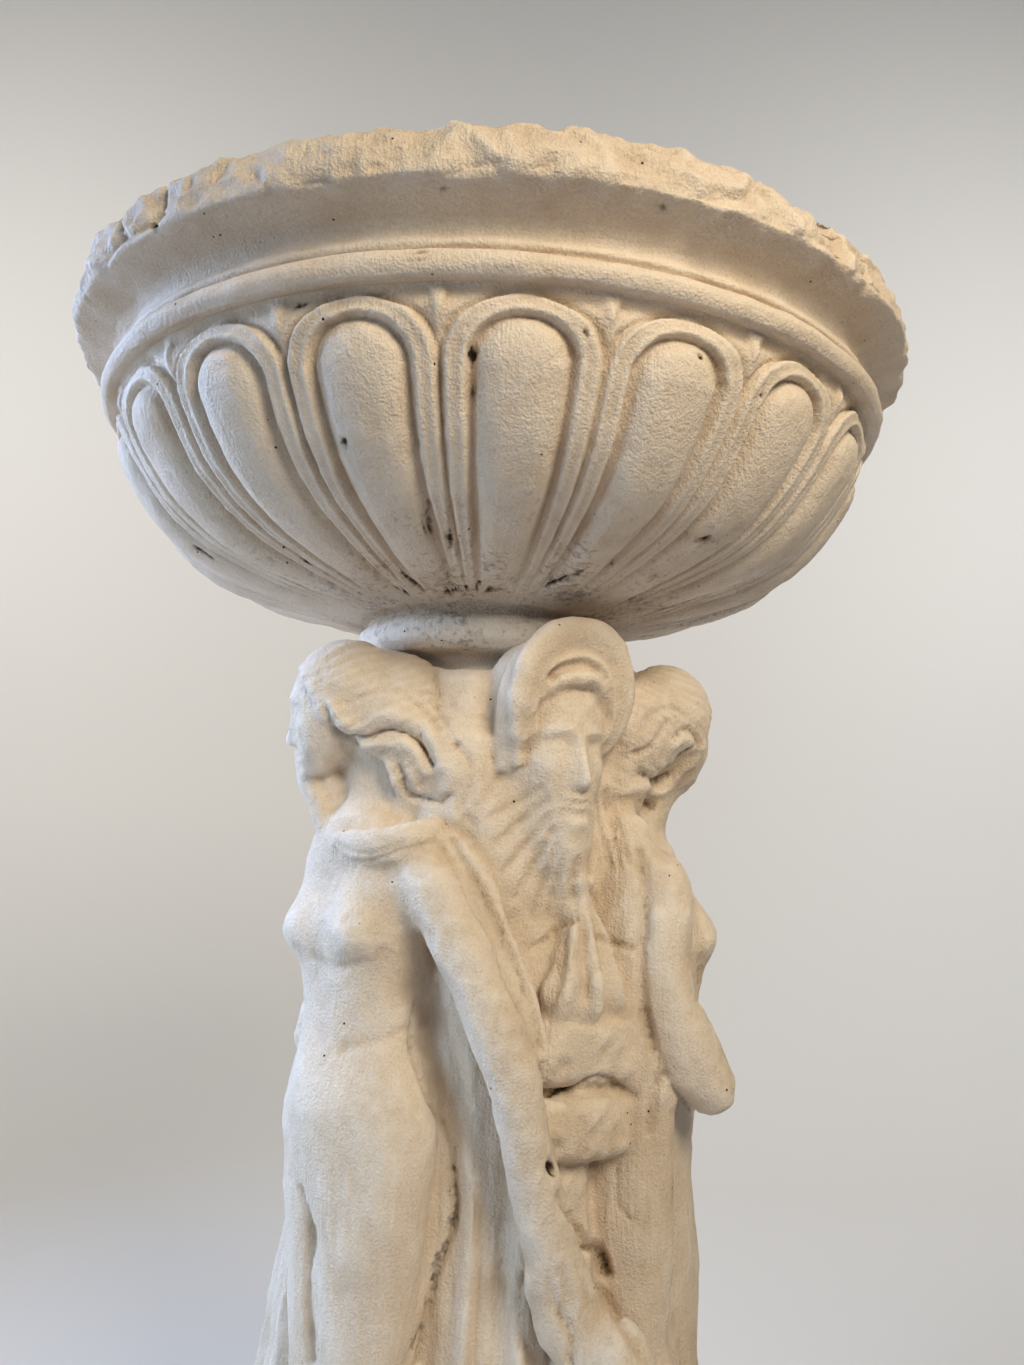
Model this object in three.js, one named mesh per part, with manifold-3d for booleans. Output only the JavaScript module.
// Concrete planter statue: a gadrooned bowl resting on a pedestal cast as three cloaked women
// with bearded, hooded masks between them. Millimetres, +Z up, the ground at z = 0.
// Azimuth 0 faces -Y and grows towards +X.

import * as THREE from 'three';
import { mergeVertices } from 'three/addons/utils/BufferGeometryUtils.js';
import Module from 'manifold-3d';

const wasm = await Module();
wasm.setup();

// Driving dimensions
const SEAT_HEIGHT = 687;
const SEAT_GAP = 0.3;
const BASE_RADIUS = 182;
const BASE_HEIGHT = 46;

const TONGUES = 18;
const TONGUE_OFFSET = THREE.MathUtils.degToRad(3.2);
const TONGUE_DEPTH = 9;
const SEGMENTS_PER_TONGUE = 4;

const BOWL = {
  height: 250,
  neckRadius: 59,
  footRadius: 93,
  footBottom: 15,
  footTop: 40,
  beadRadius: 282,
  beadHeight: 178,
  lipRadius: 303,
  lipBottom: 216,
  wall: 30,
  floorThickness: 81,
};

// Heights on a woman, the soles standing on the base
const BODY = {
  ankle: 75,
  calf: 140,
  knee: 205,
  thigh: 290,
  hips: 395,
  waist: 455,
  bust: 514,
  shoulder: 552,
  neckBase: 572,
  headCentre: 656,
};
const TORSO_DISTANCE = 98;
const HEAD_DISTANCE = 121;
const HEAD_SIZE = { depth: 37, width: 31, height: 43 };

// The hanging arms: where they lie, how far back the right one hangs and how far the cloak behind
// them stands out
const ARM = {
  shoulder: 556,
  hand: 287,
  shoulderTurn: 32,
  handTurn: 75,
  rightBack: 24,
  backing: 24,
  width: 16,
};

const MASK = { distance: 95, centre: 634, up: 84, beside: 56, down: 112 };
const HEAD_FACETS = 16;
const MASK_FACETS = 18;
const CLOAK_FOLDS = 18;

// Where each woman stands, how far her chest reaches out, how her head and right arm are posed and
// where her cloak spreads; the sides turned away from the approach are plainer
const SPREAD = { offset: -46, width: 20, reach: 48, top: 420 };
const WOMEN = [
  { azimuth: -48, reach: 0, headTurn: -50, bent: false, armSpread: 1, cloak: SPREAD, detail: 1 },
  {
    azimuth: 86,
    reach: 28,
    headTurn: 50,
    bent: true,
    armSpread: 1,
    cloak: { offset: -16, width: 17, reach: 76, top: 450 },
    detail: 1,
  },
  { azimuth: 205, reach: 4, headTurn: -40, bent: false, armSpread: 0.76, cloak: SPREAD, detail: 0.75 },
];
const MASKS = [
  { azimuth: 30, detail: 1 },
  { azimuth: 142, detail: 0.7 },
  { azimuth: -107, detail: 0.7 },
];

const CONCRETE = { color: 0xe2d6c2, roughness: 0.85, metalness: 0 };

// Turns a closed geometry into a solid
function solid(geometry) {
  geometry.deleteAttribute('normal');
  geometry.deleteAttribute('uv');
  const merged = mergeVertices(geometry, 1e-3);
  const index = merged.index.array;
  const triangles = [];
  for (let i = 0; i < index.length; i += 3) {
    const [a, b, c] = [index[i], index[i + 1], index[i + 2]];
    if (a !== b && b !== c && c !== a) {
      triangles.push(a, b, c);
    }
  }
  return new wasm.Manifold(
    new wasm.Mesh({
      numProp: 3,
      vertProperties: new Float32Array(merged.attributes.position.array),
      triVerts: new Uint32Array(triangles),
    }),
  );
}

function join(solids) {
  return solids.reduce((whole, piece) => whole.add(piece));
}

function meshOf(name, body) {
  const { vertProperties, triVerts } = body.getMesh();
  const geometry = new THREE.BufferGeometry();
  geometry.setAttribute('position', new THREE.BufferAttribute(vertProperties, 3));
  geometry.setIndex(new THREE.BufferAttribute(triVerts, 1));
  const mesh = new THREE.Mesh(geometry, new THREE.MeshStandardMaterial(CONCRETE));
  mesh.name = name;
  return mesh;
}

// A turned form with its axis along Z, from [radius, height] points given from bottom to top
function turned(points, segments) {
  const profile = points.map(([radius, height]) => new THREE.Vector2(radius, height));
  return new THREE.LatheGeometry(profile, segments).rotateX(Math.PI / 2);
}

// Moves each vertex of a geometry by a function of its position
function reshape(geometry, move) {
  const position = geometry.attributes.position;
  const vertex = new THREE.Vector3();
  for (let i = 0; i < position.count; i++) {
    move(vertex.fromBufferAttribute(position, i));
    position.setXYZ(i, vertex.x, vertex.y, vertex.z);
  }
  return geometry;
}

// A closed form of oval rings along a smooth path, one [half width, half depth] for each path point.
// The width lies along `across`; with `flutes`, every second side is pulled in to make folds.
function sweep(path, halfSizes, { sides = 6, rings = 4, across = [0, 1, 0], flutes = 0 } = {}) {
  const curve = new THREE.CatmullRomCurve3(path.map((point) => new THREE.Vector3(...point)));
  const sizes = new THREE.CatmullRomCurve3(halfSizes.map(([w, d]) => new THREE.Vector3(w, d, 0)));
  const side = new THREE.Vector3(...across);
  return reshape(new THREE.CylinderGeometry(1, 1, 1, sides, rings), (vertex) => {
    const along = 0.5 - vertex.y;
    const tangent = curve.getTangent(along);
    const wide = side.clone().addScaledVector(tangent, -side.dot(tangent)).normalize();
    const deep = tangent.clone().cross(wide);
    const size = sizes.getPoint(along);
    const turn = (Math.atan2(vertex.x, vertex.z) / (2 * Math.PI)) * sides;
    const swell = 1 - flutes * (0.5 - 0.5 * Math.cos(Math.PI * turn));
    const { x, z } = vertex;
    vertex.copy(curve.getPoint(along));
    vertex.addScaledVector(wide, x * size.x * swell).addScaledVector(deep, z * size.y * swell);
  });
}

// A round bar through the path's points
function bar(path, radius, options) {
  return sweep(path, path.map(() => [radius, radius]), options);
}

function ball(centre, radii) {
  return new THREE.SphereGeometry(1, 6, 4).scale(...radii).translate(...centre);
}

// A closed form of rows of rings from a front pole to a back pole: x forwards, y left, z up.
// `shape` gives a ring vertex from its row and its turn, 0 at the top.
function radiating(rows, around, shape) {
  const down = rows.length - 1;
  return reshape(new THREE.SphereGeometry(1, around, down), (vertex) => {
    const row = rows[Math.round((Math.acos(THREE.MathUtils.clamp(vertex.y, -1, 1)) / Math.PI) * down)];
    const turn = Math.atan2(vertex.z, vertex.x);
    vertex.copy(shape(row, turn));
  });
}

// 1 on every second of the vertices round a ring and 0 between them
function alternate(turn, around) {
  return 0.5 + 0.5 * Math.cos((turn * around) / 2);
}

// A bell curve of the angle between two azimuths in degrees
function bell(azimuth, middle, width) {
  const apart = THREE.MathUtils.euclideanModulo(azimuth - middle + 180, 360) - 180;
  return Math.exp(-((apart / width) ** 2));
}

// A count of sides or rings at a level of detail, kept even so that folds close
function facets(count, detail) {
  return Math.max(4, 2 * Math.round((count * detail) / 2));
}

// How deep the groove beside a tongue is at an angle, from 0 on the tongue to 1 in the groove
function grooveAt(angle) {
  const beside = Math.abs(Math.sin(((angle - TONGUE_OFFSET) * TONGUES) / 2));
  return beside ** 3;
}

// The bowl's outer curve from foot to bead, as [radius, height, share of the tongue relief]
function bowlCurve() {
  return [
    [142, 54, 0],
    [183, 66, 0.15],
    [213, 80, 0.5],
    [238, 101, 0.85],
    [257, 127, 1],
    [269, 150, 1],
    [272, 162, 0.55],
  ];
}

function tonguedShell() {
  const curve = bowlCurve();
  const top = BOWL.beadHeight - 6;
  const points = [[0, BOWL.footTop], [88, BOWL.footTop], ...curve, [268, top], [0, top]];
  const shell = turned(points, TONGUES * SEGMENTS_PER_TONGUE).rotateZ(TONGUE_OFFSET);
  const relief = new Map(curve.map(([radius, height, share]) => [height, { radius, share }]));
  return reshape(shell, (vertex) => {
    const row = relief.get(Math.round(vertex.z));
    if (!row) {
      return;
    }
    const azimuth = Math.atan2(vertex.x, -vertex.y);
    const radius = row.radius - TONGUE_DEPTH * row.share * grooveAt(azimuth);
    vertex.x = radius * Math.sin(azimuth);
    vertex.y = -radius * Math.cos(azimuth);
  });
}

// Bead, groove, fillet, hollow cove and heavy lip
function bowlRim() {
  const { beadRadius, beadHeight, lipRadius, lipBottom, height } = BOWL;
  return turned(
    [
      [0, beadHeight - 8],
      [beadRadius - 12, beadHeight - 8],
      [beadRadius - 2, beadHeight - 5],
      [beadRadius, beadHeight + 1],
      [beadRadius - 3, beadHeight + 8],
      [beadRadius - 11, beadHeight + 11],
      [beadRadius - 7, beadHeight + 13],
      [beadRadius - 7, beadHeight + 16],
      [beadRadius - 10, beadHeight + 20],
      [beadRadius - 3, lipBottom - 8],
      [lipRadius - 10, lipBottom - 2],
      [lipRadius - 1, lipBottom],
      [lipRadius, lipBottom + 13],
      [lipRadius - 7, height],
      [0, height],
    ],
    36,
  );
}

// Neck and round moulded foot
function bowlFoot() {
  const { neckRadius, footRadius, footBottom, footTop } = BOWL;
  const middle = (footBottom + footTop) / 2;
  return turned(
    [
      [0, 0],
      [neckRadius, 0],
      [neckRadius, footBottom - 2],
      [footRadius - 8, footBottom],
      [footRadius, middle - 4],
      [footRadius, middle + 4],
      [footRadius - 8, footTop],
      [footRadius + 5, footTop + 8],
      [0, footTop + 8],
    ],
    24,
  );
}

// The empty inside, a wall's thickness within the outer curve
function bowlHollow() {
  const { wall, height, floorThickness, lipRadius } = BOWL;
  const inside = bowlCurve()
    .filter(([, bowlHeight]) => bowlHeight > floorThickness)
    .map(([radius, bowlHeight]) => [radius - wall, bowlHeight + 4]);
  const points = [
    [0, floorThickness],
    [110, floorThickness + 4],
    [172, floorThickness + 12],
    ...inside,
    [lipRadius - 37, height - 14],
    [lipRadius - 35, height + 5],
    [0, height + 5],
  ];
  return turned(points, 30);
}

function bowl() {
  const body = join([tonguedShell(), bowlRim(), bowlFoot()].map(solid));
  const hollowed = body.subtract(solid(bowlHollow()));
  const mesh = meshOf('bowl', hollowed);
  mesh.position.z = SEAT_HEIGHT + SEAT_GAP;
  return mesh;
}

// Everything on a figure is placed as [out from the axis, to its left, up]
function figurePlace(azimuthDegrees) {
  return new THREE.Matrix4().makeRotationZ(THREE.MathUtils.degToRad(azimuthDegrees - 90));
}

// Legs pressed together, hips, waist, chest, the cloak's collar and the neck in one rounded form
function bodyForm(reach, detail) {
  const out = TORSO_DISTANCE + reach;
  const stations = [
    { out: out + 6, left: 4, up: BASE_HEIGHT - 4, wide: 32, deep: 32 },
    { out: out - 2, left: 4, up: BODY.ankle, wide: 29, deep: 20 },
    { out: out - 4 + reach * 0.3, left: 5, up: BODY.calf, wide: 39, deep: 26 },
    { out: out + reach * 0.3, left: 6, up: BODY.knee, wide: 42, deep: 28 },
    { out, left: 7, up: BODY.thigh, wide: 51, deep: 33 },
    { out: out - reach * 0.45, left: 5, up: BODY.hips, wide: 61, deep: 41 },
    { out: out + 1, left: 3, up: BODY.waist, wide: 47, deep: 32 },
    { out, left: 3, up: BODY.bust, wide: 54, deep: 34 },
    { out: out - 1 - reach * 0.4, left: 3, up: BODY.shoulder, wide: 61, deep: 31 },
    { out: out + 2 - reach * 0.6, left: 2, up: BODY.neckBase - 6, wide: 46, deep: 33 },
    { out: out + 2 - reach * 0.6, left: 1, up: BODY.neckBase + 4, wide: 42, deep: 31 },
    { out: out - 4 - reach * 0.6, left: 2, up: BODY.neckBase + 10, wide: 25, deep: 22 },
    { out: TORSO_DISTANCE + 4 + reach * 0.3, left: -2, up: BODY.neckBase + 66, wide: 19, deep: 19 },
  ];
  const path = stations.map((station) => [station.out, station.left, station.up]);
  const sizes = stations.map((station) => [station.wide, station.deep]);
  return sweep(path, sizes, { sides: facets(12, detail), rings: stations.length - 1 });
}

function bosom(reach, side) {
  return ball([TORSO_DISTANCE + 22 + reach, 1 + side * 24, BODY.bust], [21, 21, 23]);
}

// An arm hanging back along the core, from shoulder to fingertips
function hangingArm(reach, side, spread) {
  const across = side * spread;
  const back = side < 0 ? ARM.rightBack : 0;
  const path = [
    [98 + reach * 0.8 - back * 0.4, side * 60, 555],
    [88 + reach * 0.6 - back, across * 91, 499],
    [75 + reach * 0.4 - back, across * 113, 447],
    [50 - back, across * 121, 362],
    [42 - back, across * 124, 336],
    [35 - back, across * 123, 283],
  ];
  const sizes = [
    [19, 18],
    [22, 21],
    [20, 20],
    [16, 16],
    [14, 16],
    [7, 13],
  ];
  return sweep(path, sizes, { rings: path.length, across: [1, 0.3, 0] });
}

// A right arm that drops to the elbow and comes forward, with the fist closed on the cloak
function bentArm(reach) {
  const path = [
    [103 + reach, -58, 556],
    [104 + reach, -66, 495],
    [109 + reach, -68, 447],
    [124 + reach, -54, 424],
    [144 + reach, -8, 412],
  ];
  const sizes = [
    [18, 17],
    [18, 18],
    [20, 20],
    [20, 20],
    [15, 16],
  ];
  return sweep(path, sizes, { rings: path.length + 2, across: [0.3, 1, 0.2] });
}

// The cloak's edge that runs from the collar over the shoulder and down behind the arm
function cloakEdge(reach) {
  const path = [
    [92 + reach, 34, 580],
    [82 + reach * 0.8, 66, 570],
    [68 + reach * 0.6, 92, 530],
    [46, 122, 440],
  ];
  return bar(path, 8, { sides: 5, across: [1, 0, 0] });
}

// The long lock that falls from the far temple to the collar
function sideLock(reach) {
  const path = [
    [126 + reach, -48, 646],
    [131 + reach, -44, 615],
    [130 + reach, -26, 580],
    [124 + reach, -8, 562],
  ];
  return bar(path, 9, { sides: 5, rings: 3 });
}

// A head in one form: nose at the front, then the face, the hair in locks and the knot behind
function head(detail) {
  const { depth, width, height } = HEAD_SIZE;
  const around = facets(HEAD_FACETS, detail);
  const rows = [
    { forward: 1.2, ring: 0, hair: 0 },
    { forward: 0.95, ring: 0.3, hair: 0 },
    { forward: 0.8, ring: 0.62, hair: 0 },
    { forward: 0.5, ring: 0.9, hair: 0.6 },
    { forward: 0, ring: 1, hair: 1 },
    { forward: -0.5, ring: 0.98, hair: 1 },
    { forward: -0.95, ring: 0.72, hair: 1 },
    { forward: -1.15, ring: 0.48, hair: 0.7 },
    { forward: -1.6, ring: 0.42, hair: 0.7 },
    { forward: -1.75, ring: 0, hair: 0 },
  ];
  return radiating(rows, around, ({ forward, ring, hair }, turn) => {
    const crown = THREE.MathUtils.smoothstep(Math.cos(turn), -0.75, 0.1);
    const lock = hair * crown * (3 + 8 * alternate(turn, around));
    return new THREE.Vector3(
      forward * depth,
      Math.sin(turn) * (ring * width + lock),
      Math.cos(turn) * (ring * (height - 4) + lock),
    );
  });
}

function woman({ azimuth, reach, headTurn, bent, armSpread, detail }) {
  const sideways = headTurn < 0 && detail === 1;
  const headPlace = new THREE.Matrix4()
    .makeTranslation(HEAD_DISTANCE + reach * 0.5, -8, BODY.headCentre)
    .multiply(new THREE.Matrix4().makeRotationZ(THREE.MathUtils.degToRad(headTurn)))
    .multiply(new THREE.Matrix4().makeRotationY(0.1));
  const forms = [
    bodyForm(reach, detail),
    bosom(reach, -1),
    bosom(reach, 1),
    hangingArm(reach, 1, armSpread),
    bent ? bentArm(reach) : hangingArm(reach, -1, armSpread),
    cloakEdge(reach),
    head(detail).applyMatrix4(headPlace),
  ];
  if (sideways) {
    forms.push(sideLock(reach));
  }
  return forms.map((form) => form.applyMatrix4(figurePlace(azimuth)));
}

// A mask in one form: nose, face, the recess round it, then the hood's rim above and the beard below
function maskForm(detail) {
  const { up, beside, down } = MASK;
  const around = facets(MASK_FACETS, detail);
  const rows = [
    { spread: 0, face: 39, beard: 39 },
    { spread: 0.16, face: 30, beard: 31 },
    { spread: 0.36, face: 27, beard: 27 },
    { spread: 0.56, face: 13, beard: 26 },
    { spread: 0.7, face: 20, beard: 24 },
    { spread: 0.86, face: 24, beard: 18 },
    { spread: 1, face: 12, beard: 2 },
    { spread: 0.7, face: -22, beard: -34 },
    { spread: 0, face: -40, beard: -40 },
  ];
  return radiating(rows, around, ({ spread, face, beard }, turn) => {
    const lower = THREE.MathUtils.smoothstep(-Math.cos(turn), 0.1, 0.5);
    const strands = lower * spread * 7 * (alternate(turn, around) - 0.5);
    const reach = THREE.MathUtils.lerp(up, down, lower);
    return new THREE.Vector3(
      THREE.MathUtils.lerp(face, beard, lower) + strands,
      Math.sin(turn) * spread * beside,
      Math.cos(turn) * spread * reach,
    );
  });
}

// Drip-like folds under the beard, pinched above two stacked rough blocks
function dripsAndBlocks(detail) {
  const stations = [
    { out: 88, left: 2, up: 556, wide: 32, deep: 18 },
    { out: 96, left: 4, up: 515, wide: 38, deep: 21 },
    { out: 98, left: 10, up: 474, wide: 42, deep: 25 },
    { out: 94, left: 14, up: 462, wide: 36, deep: 20 },
    { out: 94, left: 22, up: 454, wide: 46, deep: 34 },
    { out: 94, left: 22, up: 430, wide: 46, deep: 34 },
    { out: 94, left: 22, up: 423, wide: 45, deep: 29 },
    { out: 94, left: 20, up: 416, wide: 46, deep: 34 },
    { out: 92, left: 14, up: 384, wide: 38, deep: 32 },
    { out: 84, left: 4, up: 352, wide: 18, deep: 22 },
  ];
  const path = stations.map((station) => [station.out, station.left, station.up]);
  const sizes = stations.map((station) => [station.wide, station.deep]);
  return sweep(path, sizes, { sides: facets(10, detail), rings: stations.length - 1, flutes: 0.1 });
}

function knob(left) {
  return ball([118, left, 471], [13, 13, 12]);
}

function mask({ azimuth, detail }) {
  const forms = [
    maskForm(detail).translate(MASK.distance, 0, MASK.centre),
    dripsAndBlocks(detail),
    knob(8),
    knob(34),
  ];
  return forms.map((form) => form.applyMatrix4(figurePlace(azimuth)));
}

// How far round from a woman's front her hanging arm lies at a height, in degrees
function armTurn(height) {
  const lowered = THREE.MathUtils.clamp((ARM.shoulder - height) / (ARM.shoulder - ARM.hand), 0, 1);
  return THREE.MathUtils.lerp(ARM.shoulderTurn, ARM.handTurn, lowered);
}

// How far the cloaks stand out from the core at an azimuth and height
function cloakReach(azimuth, height) {
  const behindArm = ARM.backing * THREE.MathUtils.smoothstep(-height, -ARM.shoulder, 40 - ARM.shoulder);
  return WOMEN.reduce((sum, woman) => {
    const { offset, width, reach, top } = woman.cloak;
    const fall = THREE.MathUtils.smoothstep(-height, -top, -BASE_HEIGHT) ** 0.5;
    const spread = reach * fall * bell(azimuth, woman.azimuth + offset, width);
    const hanging = woman.bent ? [1] : [1, -1];
    const arms = hanging.map((side) => bell(azimuth, woman.azimuth + side * armTurn(height), ARM.width));
    return sum + spread + behindArm * Math.max(...arms);
  }, 0);
}

// The body behind the figures, falling in folds to the base
function core() {
  const rows = [
    { height: BASE_HEIGHT - 6, radius: 100, fold: 5 },
    { height: 200, radius: 97, fold: 5 },
    { height: 330, radius: 95, fold: 4 },
    { height: 410, radius: 93, fold: 3 },
    { height: 520, radius: 91, fold: 2 },
    { height: 610, radius: 80, fold: 0 },
    { height: 655, radius: 68, fold: 0 },
    { height: SEAT_HEIGHT, radius: 68, fold: 0 },
  ];
  const outline = rows.map(({ radius, height }) => [radius, height]);
  const points = [[0, rows[0].height], ...outline, [0, SEAT_HEIGHT]];
  const folds = new Map(rows.map(({ height, fold }) => [height, fold]));
  return reshape(turned(points, CLOAK_FOLDS * 2), (vertex) => {
    const radius = Math.hypot(vertex.x, vertex.y);
    if (radius < 1) {
      return;
    }
    const turn = Math.atan2(vertex.x, -vertex.y);
    const fold = folds.get(Math.round(vertex.z)) * Math.cos(turn * CLOAK_FOLDS);
    const moved = radius + fold + cloakReach(THREE.MathUtils.radToDeg(turn), vertex.z);
    vertex.x *= moved / radius;
    vertex.y *= moved / radius;
  });
}

function base() {
  return turned(
    [
      [0, 0],
      [BASE_RADIUS, 0],
      [BASE_RADIUS, BASE_HEIGHT - 16],
      [BASE_RADIUS - 8, BASE_HEIGHT - 4],
      [BASE_RADIUS - 18, BASE_HEIGHT],
      [0, BASE_HEIGHT],
    ],
    32,
  );
}

function pedestal() {
  const forms = [base(), core(), ...WOMEN.flatMap(woman), ...MASKS.flatMap(mask)];
  return meshOf('pedestal', join(forms.map(solid)));
}

const planterStatue = new THREE.Group();
planterStatue.add(pedestal(), bowl());

export default planterStatue;
